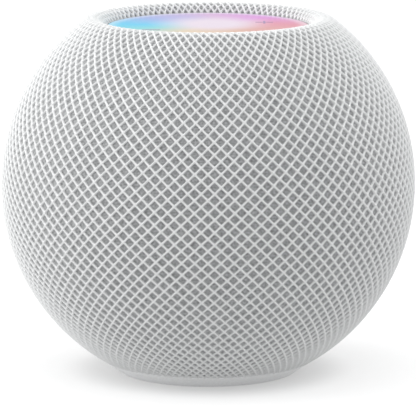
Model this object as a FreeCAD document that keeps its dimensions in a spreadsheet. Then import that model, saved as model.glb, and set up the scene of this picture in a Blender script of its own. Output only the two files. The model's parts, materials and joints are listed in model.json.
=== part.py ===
import FreeCAD, Part
import math
import os
import re

import Sketcher
from FreeCAD import Placement, Rotation, Vector

# A ball-shaped smart speaker that stands on a low foot. The origin is on the
# table below its centre, +Z is up, and the cable leaves at the back, along +Y.

SIZES = {
    # the ball, its knitted skin and its walls
    "tall": 84.3, "ball_r": 48.95, "ball_z": 44.8,
    "lip_r": 4.0, "lip_turn": 64.0, "mesh_low": 2.7,
    "mesh_t": 0.85, "scrim_t": 0.35, "skin_gap": 0.15, "wall_t": 1.8,
    # gaps that recur: round what slides in, round what fits, and for glued rims
    "slip": 0.1, "fit": 0.05, "glue": 0.02,
    # levels of the main joints between housings
    "foot_t": 2.55, "base_top": 5.0, "guide_top": 13.2, "split_z": 66.1, "seam_t": 0.6, "rim_low": 78.2,
    # foot and base
    "foot_r": 21.1, "foot_edge_r": 24.55, "foot_bevel": 0.9, "foot_bevel_t": 0.6,
    "foot_hollow_r": 14.0, "foot_step": 0.8, "base_edge_t": 1.0, "hem_r": 22.9, "hem_t": 0.9,
    # sound outlet below the driver
    "fin_t": 1.4, "fin_in": 18.0, "fin_nose": 1.2, "ring_t": 1.2, "ring_in": 29.6,
    "plug_r": 13.0, "plug_tip_r": 4.0, "plug_tip_t": 0.6,
    "throat_r": 31.0, "throat_edge_r": 33.1,
    # driver: flange, basket and baffle
    "flange_r": 23.5, "flange_low": 13.8, "flange_t": 1.4, "flange_land": 5.6, "flange_rim": 3.6,
    "seal_t": 0.6, "flange_seal": 2.9, "baffle_t": 2.4, "baffle_in": 20.5,
    "cage_r": 16.4, "cage_z": 24.6, "cage_in": 13.4, "cage_floor": 24.8, "yoke_seat_t": 2.4,
    "cage_gap": 9.2, "cage_gap_low": 16.6, "cage_gap_top": 21.8,
    # driver: cone, surround and coil
    "cone_r": 14.6, "cone_low": 14.0, "cone_land": 1.0, "neck_z": 19.8, "neck_t": 0.4, "neck_tall": 0.9,
    "paper_t": 0.5, "cap_t": 0.4, "cap_deep": 3.2, "cap_bend_r": 3.2, "cap_bend": 2.6, "cap_rim": 0.9,
    "roll_r": 1.6, "roll_flank": 0.5, "skin_t": 0.3, "bond": 1.4,
    "coil_r": 7.3, "coil_t": 0.2, "wire_t": 0.6, "coil_low": 25.0, "coil_top": 31.2, "coil_end": 0.3,
    "spider_z": 22.6, "spider_t": 0.5, "spider_r": 14.8, "spider_seat_r": 15.0,
    # driver: motor
    "pole_r": 6.95, "pole_low": 26.5, "pole_t": 3.0, "magnet_r": 6.6, "magnet_t": 5.5,
    "yoke_in": 8.5, "yoke_r": 12.5, "yoke_t": 3.5, "yoke_bevel": 0.8,
    "tag_wide": 8.0, "tag_in": 16.8, "tag_out": 19.8, "tag_low": 24.0, "tag_t": 1.4,
    # passive radiators, measured outwards from the ball's axis
    "side_r": 16.2, "side_seat": 41.5, "side_flange_t": 1.5, "side_in": 13.0, "side_tube_t": 1.0,
    "side_back": 38.5, "collar_t": 1.2, "side_plate_r": 10.2, "side_plate_t": 1.0, "side_roll": 1.1,
    "side_mass_r": 7.0, "side_mass_t": 3.0, "side_mass_bevel": 0.5,
    # chamber lid
    "lid_t": 1.6, "lid_r": 39.9, "ledge_in": 31.5, "ledge_t": 1.4, "seal_low": 64.0,
    "spigot_r": 38.0, "spigot_t": 1.7, "spigot_top": 69.6,
    "lid_seal_inset": 3.6, "lid_seal_wide": 3.0, "seam_seal_inset": 1.0, "seam_seal_wide": 1.2,
    # main board above the lid
    "board_r": 33.0, "board_low": 68.8, "board_t": 1.2, "board_post_r": 2.2, "can_top": 72.0,
    "can_side": 22.0, "radio_near": 13.0, "radio_far": 25.0, "radio_wide": 14.0, "radio_drop": 0.4,
    "spreader_r": 27.5, "spreader_low": 72.0, "spreader_t": 1.2, "pillar_ring": 22.0, "pillar_r": 1.5,
    # power board below the lid
    "power_r": 24.0, "power_low": 54.6, "power_t": 1.4, "power_post_ring": 20.5, "power_post_r": 2.0,
    "choke_ring": 9.0, "choke_r": 4.2, "choke_tall": 5.0,
    "cell_ring": 11.0, "cell_r": 2.5, "cell_tall": 6.5,
    "socket_wide": 7.0, "socket_in": 16.2, "socket_out": 21.2, "socket_top": 61.0,
    # touch surface and its marks
    "panel_r": 23.9, "panel_top": 82.05, "panel_t": 1.2, "panel_edge": 0.2, "film_t": 0.2, "film_inset": 0.7,
    "mark_size": 4.2, "mark_line": 0.5, "mark_t": 0.04, "mark_across": 13.3, "mark_back": 6.6,
    "clip_t": 0.8, "clip_drop": 0.6,
    # lights below the touch surface
    "glow_r": 22.4, "glow_t": 1.0, "frame_low": 76.2, "frame_r": 29.2, "funnel_low": 2.6, "funnel_top": 0.9,
    "led_board_t": 1.0, "led_side": 1.6, "led_t": 0.7, "led_ring": 7.0,
    # microphones and the ribbon cable
    "mic_wide": 5.6, "mic_tall": 3.6, "mic_t": 1.0, "mic_deep": 0.4,
    "ribbon_wide": 8.0, "ribbon_t": 0.2, "ribbon_out": 31.0, "ribbon_foot": 28.4, "ribbon_end": 20.0,
    # screws: their own sizes, then the circles that they stand on
    "screw_r": 0.8, "head_r": 1.4, "head_t": 1.2, "guide_post_r": 1.8, "bite": 2.5, "long_bite": 3.2,
    "shell_screw_z": 68.4, "shell_seat": 39.9,
    "base_ring": 11.0, "guide_ring": 31.4, "driver_ring": 21.8, "lid_ring": 33.4,
    "board_ring": 29.5, "frame_ring": 27.2,
    # cable outlet and inner harness
    "gland_r": 2.8, "gland_bore": 1.75, "gland_z": 9.0, "gland_in": 28.0, "gland_out": 34.3,
    "harness_r": 1.1, "harness_y": 31.3, "harness_bend": 4.0, "harness_top": 59.4,
}

doc = FreeCAD.newDocument("SmartSpeaker")
sheet = doc.addObject("Spreadsheet::Sheet", "Sizes")
for row, (alias, number) in enumerate(SIZES.items(), start=1):
    sheet.set(f"A{row}", alias)
    sheet.set(f"B{row}", str(number))
    sheet.setAlias(f"B{row}", alias)
doc.recompute()

parts = []
SKIN = "(mesh_t + scrim_t + skin_gap)"
WALL_R = f"(ball_r - {SKIN})"
INNER_R = f"({WALL_R} - wall_t)"


def formula(text):
    """The same formula, with every named size read from the sheet."""
    def from_sheet(found):
        return f"Sizes.{found.group()}" if found.group() in SIZES else found.group()
    return re.sub(r"[a-z]\w*", from_sheet, str(text))


def value(text):
    """The number that a formula comes to, in millimetres or degrees."""
    return float(sheet.evalExpression(formula(text)))


def new_part(name):
    """An empty body that becomes one sub-part."""
    body = doc.addObject("PartDesign::Body", name)
    body.Label = name
    parts.append(body)
    return body


def new_sketch(body, plane, lift=0, turn=0):
    """A sketch on one of the body's origin planes, lifted along its normal."""
    sketch = body.newObject("Sketcher::SketchObject", f"{body.Name}_sketch")
    base = next(item for item in body.Origin.OriginFeatures if item.Role == plane)
    sketch.AttachmentSupport = (base, [""])
    sketch.MapMode = "FlatFace"
    sketch.AttachmentOffset = Placement(Vector(0, 0, value(lift)), Rotation(Vector(0, 0, 1), turn))
    sketch.setExpression("AttachmentOffset.Base.z", formula(lift))
    return sketch


def constrain(sketch, *terms, size=None):
    """One constraint, driven by a formula where it has a size."""
    if size is None:
        sketch.addConstraint(Sketcher.Constraint(*terms))
        return
    index = sketch.addConstraint(Sketcher.Constraint(*terms, value(size)))
    sketch.setExpression(f"Constraints[{index}]", formula(size))


def place_point(sketch, geometry, end, across, up):
    """Tie a point of the sketch to its two coordinates; None leaves one free."""
    for kind, axis, size in (("DistanceX", -2, across), ("DistanceY", -1, up)):
        if size is None:
            continue
        if value(size) == 0:
            constrain(sketch, "PointOnObject", geometry, end, axis)
        else:
            constrain(sketch, kind, -1, 1, geometry, end, size=size)


def draw_outline(sketch, corners):
    """A closed outline of straight edges and arcs about the ball's centre.

    A corner is (across, up), or (None, up, radius) where an arc of that radius starts.
    """
    def arc_radius(index):
        return corners[index][2] if len(corners[index]) == 3 else None

    def spot(index):
        across, up = corners[index][:2]
        if across is not None:
            return Vector(value(across), value(up), 0)
        radius = value(arc_radius(index) or arc_radius(index - 1))
        return Vector(math.sqrt(radius**2 - (value(up) - value("ball_z"))**2), value(up), 0)

    spots = [spot(index) for index in range(len(corners))]
    middle = Vector(0, value("ball_z"), 0)
    ends = []
    for index, here in enumerate(spots):
        there = spots[(index + 1) % len(spots)]
        radius = arc_radius(index)
        if radius is None:
            ends.append((sketch.addGeometry(Part.LineSegment(here, there)), 1, 2))
            continue
        rising = there.y > here.y
        low, high = (here, there) if rising else (there, here)
        angles = [math.atan2(point.y - middle.y, point.x) for point in (low, high)]
        circle = Part.Circle(middle, Vector(0, 0, 1), value(radius))
        edge = sketch.addGeometry(Part.ArcOfCircle(circle, *angles))
        place_point(sketch, edge, 3, "0", "ball_z")
        constrain(sketch, "Radius", edge, size=radius)
        ends.append((edge, 1, 2) if rising else (edge, 2, 1))
    for index, (edge, start, _) in enumerate(ends):
        before, _, stop = ends[index - 1]
        constrain(sketch, "Coincident", before, stop, edge, start)
        place_point(sketch, edge, start, *corners[index][:2])


def turn_outline(body, corners):
    """Turn an outline about the body's Z axis; the first one makes it, the next add to it."""
    sketch = new_sketch(body, "XZ_Plane")
    draw_outline(sketch, corners)
    turned = body.newObject("PartDesign::Revolution", f"{body.Name}_turned")
    turned.Profile = sketch
    turned.ReferenceAxis = (sketch, ["V_Axis"])
    turned.Angle = 360
    return turned


def turned_part(name, corners):
    """A sub-part turned about the ball's axis."""
    body = new_part(name)
    turn_outline(body, corners)
    return body


def ring_part(name, inner, outer, low, high):
    """A flat ring or, with no inner radius, a disc."""
    return turned_part(name, [(inner, low), (outer, low), (outer, high), (inner, high)])


def draw_circles(sketch, *circles):
    """Circles, each (across, up, radius)."""
    for across, up, radius in circles:
        middle = Vector(value(across), value(up), 0)
        edge = sketch.addGeometry(Part.Circle(middle, Vector(0, 0, 1), value(radius)))
        constrain(sketch, "Radius", edge, size=radius)
        if value(across) == 0 and value(up) == 0:
            constrain(sketch, "Coincident", edge, 3, -1, 1)
        else:
            place_point(sketch, edge, 3, across, up)


def extrude(body, sketch, length, cut=False, backwards=False):
    """Pad a sketch along its normal, or pocket against it."""
    kind = "Pocket" if cut else "Pad"
    feature = body.newObject(f"PartDesign::{kind}", f"{body.Name}_{kind.lower()}")
    feature.Profile = sketch
    feature.Reversed = backwards
    feature.setExpression("Length", formula(length))
    return feature


def around(body, features, count, axis="Z_Axis"):
    """Repeat features evenly about one of the body's axes."""
    doc.recompute()
    pattern = body.newObject("PartDesign::PolarPattern", f"{body.Name}_around")
    pattern.Originals = features
    pattern.Axis = (next(item for item in body.Origin.OriginFeatures if item.Role == axis), [""])
    pattern.Angle = 360
    pattern.Occurrences = count
    body.Tip = pattern
    return pattern


def pegs(body, across, radius, low, high, count, turn=0, cut=False):
    """Upright round pegs, or the holes for them, evenly about the axis."""
    sketch = new_sketch(body, "XY_Plane", high if cut else low, turn)
    draw_circles(sketch, (across, "0", radius))
    feature = extrude(body, sketch, f"({high}) - ({low})", cut=cut)
    return around(body, [feature], count)


def draw_box(sketch, left, right, near, far):
    """A rectangle from left to right and from near to far."""
    draw_outline(sketch, [(left, near), (right, near), (right, far), (left, far)])


def block_part(name, left, right, near, far, low, high):
    """A plain block."""
    body = new_part(name)
    sketch = new_sketch(body, "XY_Plane", low)
    draw_box(sketch, left, right, near, far)
    extrude(body, sketch, f"({high}) - ({low})")
    return body


def screws_part(name, across, seat, tip, count, turn=0):
    """Pan-head screws: the head is on one side of the seat, the shank on the other."""
    body = new_part(name)
    up = 1 if value(tip) > value(seat) else -1
    head = new_sketch(body, "XY_Plane", seat, turn)
    draw_circles(head, (across, "0", "head_r"))
    head_pad = extrude(body, head, "head_t", backwards=up > 0)
    shank = new_sketch(body, "XY_Plane", seat, turn)
    draw_circles(shank, (across, "0", "screw_r"))
    shank_pad = extrude(body, shank, f"abs(({tip}) - ({seat}))", backwards=up < 0)
    around(body, [head_pad, shank_pad], count)
    return body


def screw_holes(body, across, low, high, count, turn=0):
    """Clearance holes for a ring of screws."""
    pegs(body, across, "screw_r + fit", low, high, count, turn, cut=True)


# ---- knitted skin -------------------------------------------------------------------------

LIP_Z = "(tall - lip_r)"


def draw_lip_arcs(sketch, outside, start_z, end_z):
    """The ball's arc and the smaller arc that rolls tangent to it over the lip."""
    ball_r, lip_r = value(f"ball_r - {outside}"), value(f"lip_r - {outside}")
    reach = value("ball_r - lip_r")
    rise = value(f"{LIP_Z} - ball_z")
    lip_x = math.sqrt(reach**2 - rise**2)
    ball_mid, lip_mid = Vector(0, value("ball_z"), 0), Vector(lip_x, value(LIP_Z), 0)
    meet = math.atan2(rise, lip_x)
    low = math.asin((value(start_z) - ball_mid.y) / ball_r)
    stop = math.pi - math.asin((value(end_z) - lip_mid.y) / lip_r)
    normal = Vector(0, 0, 1)
    ball = sketch.addGeometry(Part.ArcOfCircle(Part.Circle(ball_mid, normal, ball_r), low, meet))
    lip = sketch.addGeometry(Part.ArcOfCircle(Part.Circle(lip_mid, normal, lip_r), meet, stop))
    place_point(sketch, ball, 3, "0", "ball_z")
    constrain(sketch, "Radius", ball, size=f"ball_r - {outside}")
    constrain(sketch, "Radius", lip, size=f"lip_r - {outside}")
    place_point(sketch, lip, 3, None, LIP_Z)
    constrain(sketch, "Tangent", ball, 2, lip, 1)
    place_point(sketch, ball, 1, None, start_z)
    place_point(sketch, lip, 2, None, end_z)
    return ball, lip


def point_of(sketch, edge, end):
    """Where one end of a sketch edge now lies."""
    return sketch.getPoint(edge, end)


def sleeve_part(name, outside, thickness):
    """A skin over the whole ball: open at the foot, curled over the lip at the top."""
    body = new_part(name)
    sketch = new_sketch(body, "XZ_Plane")
    skins = []
    for inset in (outside, f"({outside} + {thickness})"):
        end_z = f"{LIP_Z} + (lip_r - {inset}) * cos(lip_turn)"
        skins.append(draw_lip_arcs(sketch, inset, "mesh_low", end_z))
    for edge, end in ((0, 1), (1, 2)):
        points = [point_of(sketch, skin[edge], end) for skin in skins]
        line = sketch.addGeometry(Part.LineSegment(*points))
        constrain(sketch, "Coincident", line, 1, skins[0][edge], end)
        constrain(sketch, "Coincident", line, 2, skins[1][edge], end)
    turned = body.newObject("PartDesign::Revolution", f"{name}_turned")
    turned.Profile = sketch
    turned.ReferenceAxis = (sketch, ["V_Axis"])
    turned.Angle = 360
    outlet = new_sketch(body, "XZ_Plane")
    draw_circles(outlet, ("0", "gland_z", "gland_r + skin_gap"))
    extrude(body, outlet, "ball_r", cut=True)
    return body


def make_skin():
    sleeve_part("mesh_cover", "0", "mesh_t")
    sleeve_part("mesh_scrim", "mesh_t", "scrim_t")
    hoop_top = "(base_top - base_edge_t - fit)"
    ring_part("hem_hoop", "hem_r - hem_t", "hem_r", f"{hoop_top} - hem_t", hoop_top)
    ring_part("mesh_clip_ring", "panel_r + slip", "panel_r + slip + clip_t", "rim_low + fit",
              "panel_top - clip_drop")


# ---- housings -----------------------------------------------------------------------------

SEAT_TOP = "(flange_low + flange_t + seal_t)"
BAFFLE_TOP = f"({SEAT_TOP} + baffle_t)"
LID_LOW = "(seal_low + seal_t)"
LID_TOP = f"({LID_LOW} + lid_t)"
BASE_SEAT = "(foot_t + head_t + slip)"
SIDE_FACE = "(side_seat + side_flange_t)"
FORMER_R = "(coil_r + coil_t)"
MAGNET_TOP = "(pole_low + pole_t + magnet_t)"
BOARD_TOP = "(board_low + board_t)"
POWER_TOP = "(power_low + power_t)"

# each ring of screws: its radius, how many, and how far the first is turned from +X
BASE_SCREWS = ("base_ring", 4, 45)
GUIDE_SCREWS = ("guide_ring", 4, 45)
DRIVER_SCREWS = ("driver_ring", 4, 45)
LID_SCREWS = ("lid_ring", 6, 30)
BOARD_SCREWS = ("board_ring", 3, 90)
FRAME_SCREWS = ("frame_ring", 4, 45)
SHELL_SCREWS = 4
FINS = 10
MICROPHONES = 3


def draw_microphone(sketch, gap):
    """A microphone's outline on the ball's widest line, with a gap all round."""
    half, rise = f"(mic_wide / 2 + {gap})", f"(mic_tall / 2 + {gap})"
    draw_box(sketch, f"0 - {half}", half, f"ball_z - {rise}", f"ball_z + {rise}")


def make_main_housing():
    """The ball's middle: two side windows, a baffle for the driver and a ledge for the lid."""
    body = turned_part("main_housing", [
        (None, "guide_top", WALL_R),
        (None, "split_z"),
        (None, "split_z", INNER_R),
        (None, "seal_low"),
        ("ledge_in", "seal_low"),
        ("ledge_in", "seal_low - ledge_t"),
        (None, "seal_low - ledge_t", INNER_R),
        (None, BAFFLE_TOP),
        ("baffle_in", BAFFLE_TOP),
        ("baffle_in", SEAT_TOP),
        ("throat_r", SEAT_TOP),
        ("throat_edge_r", "guide_top"),
    ])
    collar = new_sketch(body, "YZ_Plane", "side_back")
    draw_circles(collar, ("0", "ball_z", "side_r + collar_t"))
    collar_pad = extrude(body, collar, f"{SIDE_FACE} + slip - side_back")
    window = new_sketch(body, "YZ_Plane", "ball_r")
    draw_circles(window, ("0", "ball_z", "side_in + side_tube_t + slip"))
    window_cut = extrude(body, window, "ball_r - side_back + collar_t", cut=True)
    seat = new_sketch(body, "YZ_Plane", "ball_r")
    draw_circles(seat, ("0", "ball_z", "side_r + slip"))
    seat_cut = extrude(body, seat, "ball_r - side_seat", cut=True)
    around(body, [collar_pad, window_cut, seat_cut], 2)
    across, count, turn = GUIDE_SCREWS
    pegs(body, across, "guide_post_r", "guide_top", f"{SEAT_TOP} + wall_t", count, turn)
    screw_holes(body, across, "guide_top", BAFFLE_TOP, count, turn)
    across, count, turn = DRIVER_SCREWS
    screw_holes(body, across, SEAT_TOP, BAFFLE_TOP, count, turn)
    across, count, turn = LID_SCREWS
    screw_holes(body, across, "seal_low - ledge_t", "seal_low", count, turn)
    wire_way = new_sketch(body, "XY_Plane", BAFFLE_TOP)
    draw_circles(wire_way, ("0", "harness_y", "harness_r + slip"))
    extrude(body, wire_way, f"{BAFFLE_TOP} - guide_top", cut=True)
    pocket = new_sketch(body, "XZ_Plane", "0 - ball_r")
    draw_microphone(pocket, "slip")
    mic_cut = extrude(body, pocket, f"{SKIN} + mic_deep + mic_t + slip", cut=True, backwards=True)
    around(body, [mic_cut], MICROPHONES)


def make_top_housing():
    """The ball's top: a wall that ends in a round lip, whose inside holds the touch panel."""
    body = new_part("top_housing")
    sketch = new_sketch(body, "XZ_Plane")
    ball, lip = draw_lip_arcs(sketch, SKIN, "split_z + seam_t", LIP_Z)
    low, rim = value("split_z + seam_t"), value("rim_low")
    lip_end = point_of(sketch, lip, 2)
    inner_x = [math.sqrt(value(INNER_R)**2 - (level - value("ball_z"))**2) for level in (low, rim)]
    spots = [lip_end, Vector(lip_end.x, rim, 0), Vector(inner_x[1], rim, 0)]
    drop, shelf = [sketch.addGeometry(Part.LineSegment(*pair)) for pair in zip(spots, spots[1:])]
    angles = [math.atan2(level - value("ball_z"), across) for level, across in zip((low, rim), inner_x)]
    middle = Vector(0, value("ball_z"), 0)
    wall_circle = Part.Circle(middle, Vector(0, 0, 1), value(INNER_R))
    wall = sketch.addGeometry(Part.ArcOfCircle(wall_circle, *angles))
    foot = Part.LineSegment(Vector(inner_x[0], low, 0), point_of(sketch, ball, 1))
    foot = sketch.addGeometry(foot)
    joints = [(lip, 2, drop, 1), (drop, 2, shelf, 1), (shelf, 2, wall, 2), (wall, 1, foot, 1)]
    for joint in joints + [(foot, 2, ball, 1)]:
        constrain(sketch, "Coincident", *joint)
    place_point(sketch, wall, 3, "0", "ball_z")
    constrain(sketch, "Radius", wall, size=INNER_R)
    constrain(sketch, "Vertical", drop)
    constrain(sketch, "Horizontal", shelf)
    constrain(sketch, "Horizontal", foot)
    place_point(sketch, drop, 2, None, "rim_low")
    turned = body.newObject("PartDesign::Revolution", "top_housing_turned")
    turned.Profile = sketch
    turned.ReferenceAxis = (sketch, ["V_Axis"])
    turned.Angle = 360
    across, count, turn = FRAME_SCREWS
    screw_holes(body, across, "rim_low", "rim_low + long_bite + slip", count, turn)
    bores = new_sketch(body, "XZ_Plane")
    draw_circles(bores, ("0", "shell_screw_z", "screw_r + fit"))
    head_seats = new_sketch(body, "XZ_Plane", "0 - shell_seat")
    draw_circles(head_seats, ("0", "shell_screw_z", "head_r + slip"))
    bore_cut = extrude(body, bores, "ball_r", cut=True)
    seat_cut = extrude(body, head_seats, "wall_t * 2", cut=True)
    around(body, [bore_cut, seat_cut], SHELL_SCREWS)


def make_lid():
    """Closes the air chamber, carries the boards, and joins both housings."""
    body = turned_part("chamber_lid", [
        ("0", LID_LOW),
        ("lid_r", LID_LOW),
        ("lid_r", LID_TOP),
        ("spigot_r", LID_TOP),
        ("spigot_r", "spigot_top"),
        ("spigot_r - spigot_t", "spigot_top"),
        ("spigot_r - spigot_t", LID_TOP),
        ("0", LID_TOP),
    ])
    across, count, turn = BOARD_SCREWS
    pegs(body, across, "board_post_r", LID_TOP, "board_low", count, turn)
    screw_holes(body, across, "board_low - bite - slip", "board_low", count, turn)
    pegs(body, "power_post_ring", "power_post_r", POWER_TOP, LID_LOW, 3, 30)
    across, count, turn = LID_SCREWS
    screw_holes(body, across, LID_LOW, LID_TOP, count, turn)
    bores = new_sketch(body, "XZ_Plane")
    draw_circles(bores, ("0", "shell_screw_z", "screw_r + fit"))
    around(body, [extrude(body, bores, "ball_r", cut=True)], SHELL_SCREWS)


def make_base():
    """Foot, base plate and the finned outlet that turns the sound outwards."""
    turned_part("foot", [
        ("0", "foot_bevel_t"),
        ("foot_hollow_r", "foot_bevel_t"),
        ("foot_hollow_r + foot_step", "0"),
        ("foot_r", "0"),
        ("foot_r + foot_bevel", "foot_bevel_t"),
        ("foot_edge_r", "foot_t"),
        ("0", "foot_t"),
    ])
    plate = turned_part("base_plate", [
        ("0", "foot_t"),
        ("hem_r - hem_t - fit", "foot_t"),
        ("hem_r - hem_t - fit", "base_top - base_edge_t"),
        (None, "base_top - base_edge_t", WALL_R),
        (None, "base_top"),
        ("0", "base_top"),
    ])
    across, count, turn = BASE_SCREWS
    screw_holes(plate, across, "foot_t", "base_top", count, turn)
    pegs(plate, across, "head_r + slip", "foot_t", BASE_SEAT, count, turn, cut=True)
    guide = turned_part("waveguide", [
        ("0", "base_top"),
        (None, "base_top", WALL_R),
        (None, "base_top + ring_t"),
        ("plug_r", "base_top + ring_t"),
        ("plug_tip_r", "guide_top - plug_tip_t"),
        ("0", "guide_top"),
    ])
    fin = new_sketch(guide, "XZ_Plane", "0 - fin_t / 2")
    draw_outline(fin, [
        ("fin_in", "base_top + ring_t"),
        (None, "base_top + ring_t", WALL_R),
        (None, "guide_top - ring_t"),
        ("ring_in", "guide_top - ring_t"),
        ("fin_in", "base_top + ring_t + fin_nose"),
    ])
    around(guide, [extrude(guide, fin, "fin_t")], FINS)
    turn_outline(guide, [
        ("ring_in", "guide_top - ring_t"),
        (None, "guide_top - ring_t", WALL_R),
        (None, "guide_top"),
        ("ring_in", "guide_top"),
    ])
    across, count, turn = GUIDE_SCREWS
    screw_holes(guide, across, "guide_top - ring_t", "guide_top", count, turn)
    across, count, turn = BASE_SCREWS
    screw_holes(guide, across, "base_top", "base_top + bite + slip", count, turn)
    wire_way = new_sketch(guide, "XY_Plane", "guide_top")
    draw_circles(wire_way, ("0", "harness_y", "harness_r + slip"))
    extrude(guide, wire_way, "ring_t", cut=True)


def roll_outline(inner, outer, land, levels, rise):
    """A thin ring that rolls between a land bonded inside and one bonded outside.

    A negative rise rolls it downwards. The levels are those of its inner and its outer land.
    """
    outline = []
    grow = "skin_t" if value(rise) > 0 else "(0 - skin_t)"
    for flank, lift in (("skin_t", "0"), ("0", grow)):
        side = [
            (f"{inner} - {land}", f"{levels[0]} + {lift}"),
            (f"{inner} + {flank}", f"{levels[0]} + {lift}"),
            (f"{inner} + {flank} + roll_flank", f"{levels[0]} + {lift} + {rise} * 2 / 3"),
            (f"({inner} + {outer}) / 2", f"{levels[0]} + {lift} + {rise}"),
            (f"{outer} - {flank} - roll_flank", f"{levels[0]} + {lift} + {rise} * 2 / 3"),
            (f"{outer} - {flank}", f"{levels[1]} + {lift}"),
            (f"{outer} + bond", f"{levels[1]} + {lift}"),
        ]
        outline += side if not outline else side[::-1]
    return outline


def make_basket():
    """The driver's cast frame and the gasket under its flange."""
    flange_top = "(flange_low + flange_t)"
    basket = turned_part("driver_basket", [
        ("flange_r - flange_land", "flange_low"),
        ("flange_r", "flange_low"),
        ("flange_r", flange_top),
        ("flange_r - flange_rim", flange_top),
        ("cage_r", "cage_z"),
        ("cage_r", "pole_low + yoke_seat_t"),
        ("yoke_r + glue", "pole_low + yoke_seat_t"),
        ("yoke_r + glue", "pole_low"),
        ("cage_in", "cage_floor"),
        ("cage_in", "spider_z + spider_t"),
        ("spider_seat_r", "spider_z + spider_t"),
        ("flange_r - flange_land", flange_top),
    ])
    window = new_sketch(basket, "XZ_Plane")
    draw_box(window, "0 - cage_gap / 2", "cage_gap / 2", "cage_gap_low", "cage_gap_top")
    around(basket, [extrude(basket, window, "flange_r", cut=True)], 6)
    across, count, turn = DRIVER_SCREWS
    screw_holes(basket, across, "flange_low", flange_top, count, turn)
    gasket = ring_part("driver_gasket", "flange_r - flange_seal", "flange_r", flange_top, SEAT_TOP)
    screw_holes(gasket, across, flange_top, SEAT_TOP, count, turn)
    block_part("driver_terminals", "0 - tag_wide / 2", "tag_wide / 2", "0 - tag_out", "0 - tag_in",
               "tag_low", "tag_low + tag_t")


def make_cone():
    """What moves in the driver, and the surround and spider that hold it."""
    turned_part("driver_surround", roll_outline(
        "cone_r", "(cone_r + 2 * roll_r)", "cone_land", ("cone_low", "flange_low"), "(0 - roll_r)"))
    turned_part("driver_cone", [
        ("cone_r - cone_land", "cone_low"),
        ("cone_r", "cone_low"),
        ("cone_r", "cone_low + paper_t"),
        ("cone_r - cone_land", "cone_low + paper_t"),
        (f"{FORMER_R} + neck_t", "neck_z"),
        (f"{FORMER_R} + neck_t", "neck_z + neck_tall"),
        (FORMER_R, "neck_z + neck_tall"),
        (FORMER_R, "neck_z - paper_t"),
    ])
    turned_part("dust_cap", [
        ("0", "neck_z - cap_deep"),
        ("cap_bend_r", "neck_z - cap_bend"),
        (f"{FORMER_R} - glue", "neck_z - cap_rim"),
        (f"{FORMER_R} - glue", "neck_z - paper_t"),
        ("cap_bend_r", "neck_z - cap_bend + cap_t"),
        ("0", "neck_z - cap_deep + cap_t"),
    ])
    ring_part("coil_former", "coil_r", FORMER_R, "neck_z - paper_t", "coil_top")
    ring_part("coil_winding", FORMER_R, f"{FORMER_R} + wire_t", "coil_low", "coil_top - coil_end")
    ring_part("spider", FORMER_R, "spider_r", "spider_z", "spider_z + spider_t")


def make_motor():
    """The driver's magnet between its pole plate and the steel cup round it."""
    ring_part("pole_plate", "0", "pole_r", "pole_low", "pole_low + pole_t")
    ring_part("magnet", "0", "magnet_r", "pole_low + pole_t", MAGNET_TOP)
    turned_part("yoke_cup", [
        ("0", MAGNET_TOP),
        ("yoke_in", MAGNET_TOP),
        ("yoke_in", "pole_low"),
        ("yoke_r", "pole_low"),
        ("yoke_r", f"{MAGNET_TOP} + yoke_t - yoke_bevel"),
        ("yoke_r - yoke_bevel", f"{MAGNET_TOP} + yoke_t"),
        ("0", f"{MAGNET_TOP} + yoke_t"),
    ])


def make_radiator(side, turn):
    """One passive radiator, turned about the ball's X axis; its local Z points outwards."""
    outward = Placement(Vector(0, 0, value("ball_z")), Rotation(Vector(0, 1, 0), turn))
    plate_back = f"({SIDE_FACE} - side_plate_t)"
    pieces = {
        "frame": [
            ("side_in", "side_back"),
            ("side_in + side_tube_t", "side_back"),
            ("side_in + side_tube_t", "side_seat"),
            ("side_r", "side_seat"),
            ("side_r", SIDE_FACE),
            ("side_in", SIDE_FACE),
        ],
        "surround": roll_outline("side_plate_r", "side_in", "bond", (SIDE_FACE, SIDE_FACE), "side_roll"),
        "plate": [
            ("0", plate_back),
            ("side_plate_r", plate_back),
            ("side_plate_r", SIDE_FACE),
            ("0", SIDE_FACE),
        ],
        "mass": [
            ("0", f"{plate_back} - side_mass_t"),
            ("side_mass_r - side_mass_bevel", f"{plate_back} - side_mass_t"),
            ("side_mass_r", f"{plate_back} - side_mass_t + side_mass_bevel"),
            ("side_mass_r", plate_back),
            ("0", plate_back),
        ],
    }
    for piece, corners in pieces.items():
        body = turned_part(f"radiator_{piece}_{side}", corners)
        body.Placement = outward
        body.setExpression("Placement.Base.z", formula("ball_z"))


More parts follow.
